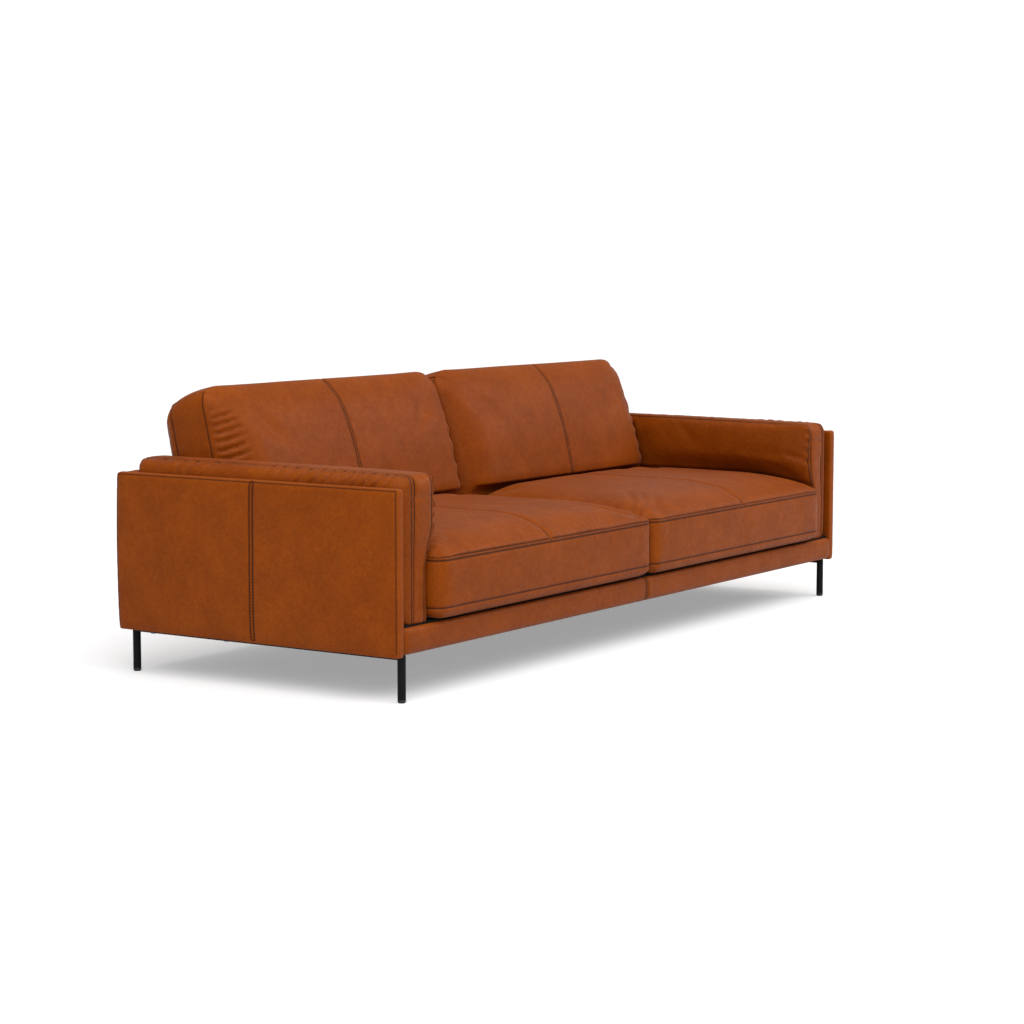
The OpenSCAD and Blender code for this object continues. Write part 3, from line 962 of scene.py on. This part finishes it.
class SOFA_OT_seat_cushions(bpy.types.Operator):
    """Loose seat cushions: a crowned top, a boxed front between two seams, and a seam over the middle"""

    bl_idname = "mesh.sofa_seat_cushions"
    bl_label = "Seat Cushions"

    def execute(self, context):
        look = context.scene.sofa_seat
        low, high = right_box("seat_cover")
        beside_arm = high.x + 0.0085
        # The front stands a little proud, and the edge of the underside rolls up from the deck
        low = low + Vector((0.0012, -0.006, look.roll))
        high = high - Vector((0.0, 0.001, 0.0))
        floor = low.z - look.roll + 0.0005
        top_seam, low_seam = high.z - look.top_seam_drop, floor + look.low_seam_rise
        edge = top_seam + look.rim
        top = Dome(high.z + look.crown - edge, ((look.inner_reach, 0.14), (0.22, 0.045)), 1.75)
        under = Dome(look.roll, ((0.055, 0.055), (0.038, 0.03)))
        covers, held = [], []
        for side, turn in SIDES:
            xs = domed_stations(low.x, high.x, 0.0135, around(CENTRE))
            ys = domed_stations(low.y, high.y, 0.0135)
            zs = stations(low.z, edge, 0.013, around(low_seam, top_seam))
            cover = Cover(side + "_seat_cushion", xs, ys, zs, turn)
            points = cover.boxed(2, ((0.036, 0.034), (0.040, 0.030)), (under, top))
            cut = cover.cut
            lid = cut[:, 2] >= edge - TINY
            spread = (cut[:, 0] - CENTRE) / (high.x - CENTRE)
            points[:, 2] -= lid * (points[:, 2] - edge) * 0.17 * spread ** 2
            cover.points = points
            covers.append(cover)
            at_seam = (np.abs(cut[:, 2] - top_seam) < 0.002) | (np.abs(cut[:, 2] - low_seam) < 0.002)
            held.append(at_seam | (cut[:, 2] <= low.z + TINY) | (cut[:, 1] >= high.y - TINY))
        swell(covers, held, 3.0, 0.0, look.swell)
        for (side, turn), cover in zip(SIDES, covers):
            cover.refine()
            self.crease(cover, low, edge)
            ring = [(low.x, low.y), (high.x, low.y), (high.x, high.y), (low.x, high.y)]
            seams = [
                Seam([(x, y, top_seam) for x, y in ring], (0, 0, 1), True, True),
                Seam([(x, y, low_seam) for x, y in ring], (0, 0, 1), False, True),
                Seam([(CENTRE, high.y, edge), (CENTRE, low.y, edge), (CENTRE, low.y, top_seam)],
                     (1, 0, 0)),
            ]
            sink_seams(cover, seams, context.scene.sofa_seams)
            points = cover.points
            points[:, 0] = np.clip(points[:, 0], SPLIT, beside_arm)
            points[:, 1] = np.minimum(points[:, 1], high.y)
            points[:, 2] = np.maximum(points[:, 2], floor)
            cover.points = points
            worn = 0.5 * hump(points[:, 2], high.z, 0.02) * hump(points[:, 1], low.y + 0.06, 0.05)
            names = [side + "_seat_cover", side + "_seat_foam"]
            upholster(context, cover, seams, worn, side + "_seat_cushion", names)
        return {"FINISHED"}

    @staticmethod
    def crease(cover, low, edge):
        """Soft folds where people sit down: behind the front edge by the split, and beside the seam."""
        cut = cover.cut
        real = cut * np.array([cover.turn, 1, 1])
        top = soft_step(cut[:, 2], edge - 0.004, edge)
        x, y = cut[:, 0] - low.x, cut[:, 1] - low.y
        depth = np.zeros(len(cut))
        near = 1 - soft_step(x, 0.06, 0.26)
        # Each fold starts this far behind the front edge, curves back this much and is this deep
        for start, curve, sink in ((0.032, 0.10, 0.0072), (0.064, 0.13, 0.0052), (0.100, 0.16, 0.0040)):
            bend = y - start - curve * (x / 0.22) ** 2
            depth -= near * sink * hump(bend, 0, 0.013)
            depth += near * 0.6 * sink * hump(bend, 0.028, 0.016)
        # The left seat also puckers where its front edge meets the arm
        by_arm = (cover.turn < 0) * (1 - soft_step(cover.high[0] - cut[:, 0], 0.02, 0.13))
        pucker_pitch, slant = 0.034, 0.5
        pucker = valleys(x - slant * (y - 0.03), pucker_pitch, 0.5)
        depth -= by_arm * hump(y, 0.045, 0.035) * 0.0040 * pucker
        from_seam = cut[:, 0] - CENTRE
        depth -= 0.0042 * hump(from_seam, 0, 0.010)
        beside = hump(from_seam, -0.030, 0.020) + hump(from_seam, 0.034, 0.024)
        depth += beside * 0.0014 * ripple(real, (6, 26, 6), 4.0)
        depth += 0.0024 * ripple(real, (3.2, 3.2, 3.2), 6.0, 3)
        depth *= top
        front = 1 - soft_step(cut[:, 1], low.y, low.y + 0.01)
        depth += front * 0.0012 * ripple(real, (8, 4, 6), 7.0)
        cover.press(depth)


class SOFA_OT_back_cushions(bpy.types.Operator):
    """Loose back cushions that lean on the panel: boxed ends, and a front that wraps over the top"""

    bl_idname = "mesh.sofa_back_cushions"
    bl_label = "Back Cushions"

    def execute(self, context):
        look = context.scene.sofa_back
        low, high = right_box("back_cover")
        seat_high = right_box("seat_cover")[1]
        panel_low, panel_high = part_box("back_panel_cover")
        joints = frame["record"]["behaviour"]["joints"]
        axis = next(j["axis"] for j in joints if j["name"] == "right_back_lift_off")
        lean = math.atan2(axis[1], axis[2])
        floor = low.z + 0.0008
        wall = seat_high.y + 0.0015
        rear = panel_low.y - 0.0015
        half = look.thickness / 2
        mid = rear + (floor - panel_high.z) * math.tan(lean) - half / math.cos(lean)
        inner, outer, tall = low.x + 0.0012, high.x - 0.006, look.height
        front, back = -look.front_seam, look.rear_seam
        front_dome = Dome(look.front_crown, ((0.12, 0.13), (0.05, 0.27)), 1.85)
        rear_dome = Dome(half - look.rear_seam - look.rim, ((0.10, 0.10), (0.05, 0.10)))
        covers, held = [], []
        for side, turn in SIDES:
            xs = domed_stations(inner, outer, 0.0135, around(CENTRE))
            ys = stations(front - look.rim, back + look.rim, 0.0125, around(front, back))
            zs = domed_stations(0, tall, 0.0105)
            cover = Cover(side + "_back_cushion", xs, ys, zs, turn)
            cut = cover.cut
            split, wide, deep = (0.060, 0.088, 0.076) if turn > 0 else (0.090, 0.056, 0.062)
            points = cover.boxed(1, ((split, wide), (0.020, deep)), (front_dome, rear_dome))
            # Behind the seat cushion the front stays thin, and just above it the front is fullest
            tuck = 1 - look.tuck * (1 - soft_step(cut[:, 2], 0.12, 0.248))
            ahead = points[:, 1] < front - look.rim
            points[:, 1] = np.where(ahead, front - look.rim + (points[:, 1] - front + look.rim) * tuck,
                                    points[:, 1])
            points[:, 1] *= 1 - 0.22 * (1 - soft_step(cut[:, 2], 0, 0.12)) * (points[:, 1] < 0)
            cover.points = self.lean_back(points, tall, mid, floor, lean)
            covers.append(cover)
            ends = (cut[:, 0] <= inner + TINY) | (cut[:, 0] >= outer - TINY)
            at_seam = ends & ((np.abs(cut[:, 1] - front) < 0.002) | (np.abs(cut[:, 1] - back) < 0.002))
            leaning = (cut[:, 1] >= back + look.rim - TINY) & (cut[:, 2] < tall * 0.6)
            held.append(at_seam | (cut[:, 2] <= TINY) | leaning)
        swell(covers, held, 3.5, 0.0, look.swell)
        for (side, turn), cover in zip(SIDES, covers):
            cover.refine()
            self.gather(cover, inner, outer, tall)
            seams = [Seam([(CENTRE, front - look.rim, 0.05), (CENTRE, front - look.rim, tall),
                           (CENTRE, back + look.rim, tall)], (1, 0, 0), True)]
            for x in (inner, outer):
                seams += [Seam([(x, front, 0.02), (x, front, tall)], (0, 1, 0)),
                          Seam([(x, back, 0.02), (x, back, tall)], (0, 1, 0)),
                          Seam([(x, front, tall), (x, back, tall)], (1, 0, 0))]
            sink_seams(cover, seams, context.scene.sofa_seams)
            cover.points = self.clear(cover.points, wall, rear, floor, panel_high.z, lean)
            worn = 0.5 * hump(cover.cut[:, 2], tall, 0.03)
            names = [side + "_back_cover", side + "_back_fill"]
            upholster(context, cover, seams, worn, side + "_back_cushion", names)
        return {"FINISHED"}

    @staticmethod
    def lean_back(points, tall, mid, floor, lean):
        """Tips the upright block back about its foot, which stays level."""
        x, y, s = points.T
        behind = np.clip((y + 0.067) / 0.15, 0, 1)
        s = s - 0.027 * behind ** 2.6 * soft_step(s, tall - 0.22, tall)
        s = s + y * math.tan(lean) * (1 - np.clip(s / tall, 0, 1))
        return np.column_stack([x, mid + y * math.cos(lean) + s * math.sin(lean),
                                floor - y * math.sin(lean) + s * math.cos(lean)])

    @staticmethod
    def clear(points, wall, rear, floor, panel_top, lean):
        """Keeps a cushion clear of the arms, the seat cushion in front of it and the back panel."""
        beside_arm = 1.0725 + 0.026 * soft_step(points[:, 1], 0.20, 0.27)
        points[:, 0] = np.clip(points[:, 0], SPLIT, beside_arm)
        # The seat cushion's back is a wall. Its edge is round, and above it the front may come forwards
        keep = wall - 0.012 * soft_step(points[:, 2], 0.405, 0.430)
        free_above = 0.5
        keep -= free_above * soft_step(points[:, 2], 0.428, 0.466)
        points[:, 1] = np.maximum(points[:, 1], keep)
        against = rear + (points[:, 2] - panel_top) * math.tan(lean)
        beside = points[:, 2] < panel_top + 0.02
        points[:, 1] = np.where(beside, np.minimum(points[:, 1], against), points[:, 1])
        points[:, 2] = np.maximum(points[:, 2], floor)
        return points

    @staticmethod
    def gather(cover, inner, outer, tall):
        """Small level gathers beside the end seams, long soft creases, and a few dents."""
        cut = cover.cut
        real = cut * np.array([cover.turn, 1, 1]) + np.array([0, 0, 0.3])
        ahead = cut[:, 1] <= cover.low[1] + TINY
        k = cut[:, 2] / tall
        depth = ahead * 0.0026 * ripple(real, (2.4, 2.4, 3.4), 8.0)
        from_end = outer - cut[:, 0]
        sway = ripple(real, (5, 5, 7), 9.0)
        gather_pitch, slant = 0.0225, 0.22
        valley = valleys(cut[:, 2] - slant * from_end, gather_pitch, 0.42, 1.1 * sway)
        beside = soft_step(k, 0.60, 0.68) * (1 - soft_step(k, 0.83, 0.90)) * (1 + 0.5 * sway)
        beside *= soft_step(from_end, 0.0, 0.006) * (1 - soft_step(from_end, 0.028, 0.085 + 0.03 * sway))
        depth += ahead * beside * (0.0026 - 0.0100 * valley) * (cover.turn < 0)
        wave_length = 0.047
        wobble = np.sin(cut[:, 2] / wave_length * 2 * math.pi + 3.0 * sway)
        # The end that faces +X in use: the split on the left cushion, the arm on the right one
        low_end = hump(cut[:, 0] - inner if cover.turn < 0 else from_end, 0.020, 0.045)
        depth += ahead * low_end * (1 - soft_step(k, 0.60, 0.85)) * 0.0036 * wobble
        ends = (cut[:, 0] <= inner + TINY) | (cut[:, 0] >= outer - TINY)
        depth += ends * 0.0030 * ripple(real, (4, 9, 7), 10.0, 2)
        cover.press(depth)


class SOFA_OT_arm_cushions(bpy.types.Operator):
    """Arm cushions fixed inside the side panels: a strip over the top and down the front between faces"""

    bl_idname = "mesh.sofa_arm_cushions"
    bl_label = "Arm Cushions"

    def execute(self, context):
        look = context.scene.sofa_arm
        low, high = right_box("arm_cover")
        low = low + Vector((0.0, 0.003, 0.0005))
        high = high - Vector((0.0005, 0.0005, 0.006))
        rail_top, rail_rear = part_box("front_rail_cover")[1].z + 0.0006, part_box("front_rail_core")[1].y
        inner_seam, outer_seam = low.x + look.lip, low.x + look.strip
        near, far = inner_seam - look.rim, outer_seam + look.rim
        inner_dome = Dome(near - low.x + look.inner_bulge, ((0.10, 0.06), (0.34, 0.13)), 1.75)
        outer_dome = Dome(high.x - far, ((0.040, 0.03), (0.04, 0.040)), 2.0)
        covers, held = [], []
        for side, turn in SIDES:
            xs = stations(near, far, 0.011, around(inner_seam, outer_seam))
            ys = domed_stations(low.y, high.y, 0.0085)
            zs = domed_stations(low.z, high.z, 0.0125)
            cover = Cover(side + "_arm_cushion", xs, ys, zs, turn)
            points = cover.boxed(0, ((0.022, 0.014), (0.008, 0.028)), (inner_dome, outer_dome))
            cover.points = self.fit(points, cover.cut, low, high, near, far, look)
            covers.append(cover)
            cut = cover.cut
            flat = (cut[:, 0] >= far - TINY) & (cut[:, 2] < 0.54)
            at_seam = (np.abs(cut[:, 0] - outer_seam) < 0.001) | (np.abs(cut[:, 0] - inner_seam) < 0.001)
            held.append(flat | at_seam | (cut[:, 2] <= low.z + TINY) | (cut[:, 1] >= high.y - TINY))
        swell(covers, held, 3.0, 0.003, look.swell)
        for (side, turn), cover in zip(SIDES, covers):
            cover.refine()
            self.fold(cover, low, high, inner_seam, outer_seam, far)
            seams = [Seam([(x, high.y, high.z), (x, low.y, high.z), (x, low.y, low.z)], (1, 0, 0), True)
                     for x in (inner_seam, outer_seam)]
            sink_seams(cover, seams, context.scene.sofa_seams)
            points = cover.points
            x, y, z = points.T
            # The cushion keeps off the seat cushion below, the back cushion behind and the side panel
            over = self.seat_top(y)
            off_seat = 1.1085 - 0.064 * soft_step(z, over, over + 0.028)
            off_back = 1.0450 + 0.0545 * soft_step(y, 0.12, 0.24)
            off_panel = 1.2176 + 0.0050 * soft_step(z, 0.552, 0.562)
            points[:, 0] = np.clip(x, np.maximum(off_seat, off_back), off_panel)
            points[:, 1] = np.minimum(y, high.y)
            # The foot stands on the frame, and its front edge reaches down to the front rail
            over_rail = 1 - soft_step(y, rail_rear, rail_rear + 0.02)
            foot = over_rail * (1 - soft_step(z, low.z, low.z + 0.03))
            points[:, 2] = np.maximum(z, low.z) - (low.z - rail_top) * foot
            cover.points = points
            worn = 0.7 * hump(cover.cut[:, 2], high.z, 0.02) * soft_step(-cover.cut[:, 1], -0.2, -low.y)
            names = [side + "_arm_cover", side + "_arm_foam"]
            upholster(context, cover, seams, worn, "frame", names)
        return {"FINISHED"}

    @staticmethod
    def seat_top(y):
        """How high the seat cushion reaches beside the arm cushion."""
        return 0.410 - 0.026 * soft_step(-y, 0.20, 0.46)

    def fit(self, points, cut, low, high, near, far, look):
        """Narrows the foot beside the seat and the end beside the back cushion, and slopes the top."""
        t = (cut[:, 1] - low.y) / (high.y - low.y)
        inner = 1 - soft_step(cut[:, 0], near, far)
        over = self.seat_top(cut[:, 1])
        free = soft_step(cut[:, 2], over - 0.02, over + 0.075) * (1 - soft_step(cut[:, 1], 0.05, 0.24))
        lean_in = 0.005 + 0.022 * soft_step(-cut[:, 1], -0.10, 0.25)
        x = points[:, 0]
        x = np.where(x < near, near - (near - x) * free, x)
        below = 1 - soft_step(cut[:, 2], over - 0.05, over + 0.01)
        points[:, 0] = x - inner * lean_in * free + inner * look.foot * below
        points[:, 2] -= soft_step(cut[:, 2], 0.45, high.z) * 0.008 * (1 - t) ** 2
        return points

    @staticmethod
    def fold(cover, low, high, inner_seam, outer_seam, far):
        """Folds that fan over the outer face, pleats by the panel and a crease across the strip."""
        cut = cover.cut
        real = cut * np.array([cover.turn, 1, 1])
        y, z = cut[:, 1], cut[:, 2]
        outside = soft_step(cut[:, 0], outer_seam, far)
        show = outside * soft_step(z, 0.50, 0.56)
        uneven = ripple(real, (3, 9, 3), 11.0)
        forward = 0.55 + 0.45 * soft_step(-y, -0.20, 0.25)
        # Folds lie far apart at the rear and close together at the front
        run = high.y - y + 0.5 * (high.z - z)
        count = 11 * run + 13 * run ** 2
        valley = valleys(count, 1, 0.36, 1.6 * uneven)
        patchy = np.clip(0.55 + 0.9 * ripple(real, (4, 6, 4), 14.0), 0, 1.2)
        away = 1 - hump(y, low.y, 0.05)
        depth = show * away * forward * patchy * (0.0030 - 0.0140 * valley)
        front = 1 - soft_step(y, low.y, low.y + 0.02)
        pleat_pitch = 0.0105
        pleats = valleys(z - 0.53, pleat_pitch, 0.5)
        beside = hump(cut[:, 0], outer_seam + 0.010, 0.014)
        depth += front * beside * hump(z, 0.522, 0.020) * (0.0010 - 0.0036 * pleats)
        strip = soft_step(cut[:, 0], inner_seam, inner_seam + 0.01)
        strip *= 1 - soft_step(cut[:, 0], outer_seam - 0.01, outer_seam)
        crease = hump(z, 0.532, 0.006)
        depth += front * strip * (0.0026 * ripple(real, (12, 5, 9), 12.0) - 0.0030 * crease)
        inside = 1 - soft_step(cut[:, 0], inner_seam - 0.006, inner_seam + 0.004)
        depth += inside * 0.0020 * ripple(real, (3, 4, 6), 13.0, 3)
        # The front corner pulls a crease that climbs to the rear, and makes the inner edge wavy
        pinch = 0.470 + 0.22 * (y - low.y)
        depth -= inside * 0.0050 * hump(z, pinch, 0.012) * hump(y, low.y + 0.035, 0.055)
        edge = inside * front * soft_step(z, 0.42, 0.48)
        depth += edge * 0.0035 * np.sin(z / 0.036 * 2 * math.pi + 2.5 * ripple(real, (4, 4, 12), 15.0))
        cover.press(depth)


class SOFA_OT_stage(bpy.types.Operator):
    """Pale floor, even sky, soft lights and the camera"""

    bl_idname = "mesh.sofa_stage"
    bl_label = "Stage"

    def execute(self, context):
        look = context.scene.sofa_stage
        made = bmesh.new()
        bmesh.ops.create_grid(made, x_segments=8, y_segments=8, size=60)
        mesh = bpy.data.meshes.new("studio_floor")
        made.to_mesh(mesh)
        made.free()
        floor = stand("studio_floor", mesh)
        s = Shade("pale_floor")
        drift = s.noise(0.4, 2)
        colour = s.blend(drift, (0.70, 0.70, 0.70), (0.73, 0.73, 0.73))
        seen = s.node("ShaderNodeLightPath", out="Is Camera Ray")
        mesh.materials.append(s.finish(Base_Color=colour, Roughness=0.9, Specular_IOR_Level=0.0,
                                       Emission_Color=seen, Emission_Strength=look.glow))
        s = Shade("studio_sky", bpy.data.worlds)
        seen = s.node("ShaderNodeLightPath", out="Is Camera Ray")
        even = s.node("ShaderNodeBackground", None, {"Color": (1, 1, 1), "Strength": look.sky})
        backdrop = s.node("ShaderNodeBackground", None, {"Color": (1, 1, 1), "Strength": 1.02})
        mixed = s.node("ShaderNodeMixShader", None, {0: seen, 1: even, 2: backdrop})
        s.node("ShaderNodeOutputWorld", None, {"Surface": mixed})
        context.scene.world = s.material
        sun = bpy.data.lights.new("soft_sun", "SUN")
        sun.energy, sun.angle = look.sun, math.radians(75)
        tilt_x, tilt_y = math.radians(22), math.radians(-12)
        stand("soft_sun", sun).rotation_euler = (tilt_x, tilt_y, 0)
        self.light("key_light", (-4.2, -1.9, 2.6), (0, 0, 0.4), 2.4, look.key)
        self.light("gloss_panel", (5.0, -4.0, 3.8), (0, 0, 0.5), 3.2, look.gloss)
        lens = bpy.data.cameras.new("camera")
        lens.lens, lens.sensor_width = look.lens, 36
        lens.clip_end = 200
        camera = stand("camera", lens)
        camera.location = look.camera_place
        camera.rotation_euler = (look.camera_pitch, 0, look.camera_heading)
        context.scene.camera = camera
        context.scene.view_settings.view_transform = "Standard"
        return {"FINISHED"}

    @staticmethod
    def light(name, place, aim, size, power):
        """A round lamp that faces a point."""
        lamp = bpy.data.lights.new(name, "AREA")
        lamp.shape, lamp.size, lamp.energy = "DISK", size, power
        holder = stand(name, lamp)
        holder.location = place
        holder.rotation_euler = (Vector(aim) - Vector(place)).to_track_quat("-Z", "Y").to_euler()


OPERATORS = (SOFA_OT_frame_finish, SOFA_OT_side_panels, SOFA_OT_back_panel, SOFA_OT_front_rail,
             SOFA_OT_arm_cushions, SOFA_OT_seat_cushions, SOFA_OT_back_cushions, SOFA_OT_stage)


class SOFA_PT_pieces(bpy.types.Panel):
    """Sidebar list of the sofa's pieces"""

    bl_label = "Sofa"
    bl_space_type = "VIEW_3D"
    bl_region_type = "UI"
    bl_category = "Sofa"

    def draw(self, context):
        for operator in OPERATORS:
            self.layout.operator(operator.bl_idname)


CLASSES = (*SETTINGS.values(), *OPERATORS, SOFA_PT_pieces)


def register():
    for cls in CLASSES:
        bpy.utils.register_class(cls)
    for name, group in SETTINGS.items():
        setattr(bpy.types.Scene, name, PointerProperty(type=group))


def unregister():
    for name in SETTINGS:
        delattr(bpy.types.Scene, name)
    for cls in reversed(CLASSES):
        bpy.utils.unregister_class(cls)


def main():
    register()
    for operator in OPERATORS:
        group, name = operator.bl_idname.split(".")
        getattr(getattr(bpy.ops, group), name)()


if __name__ == "__main__":
    main()
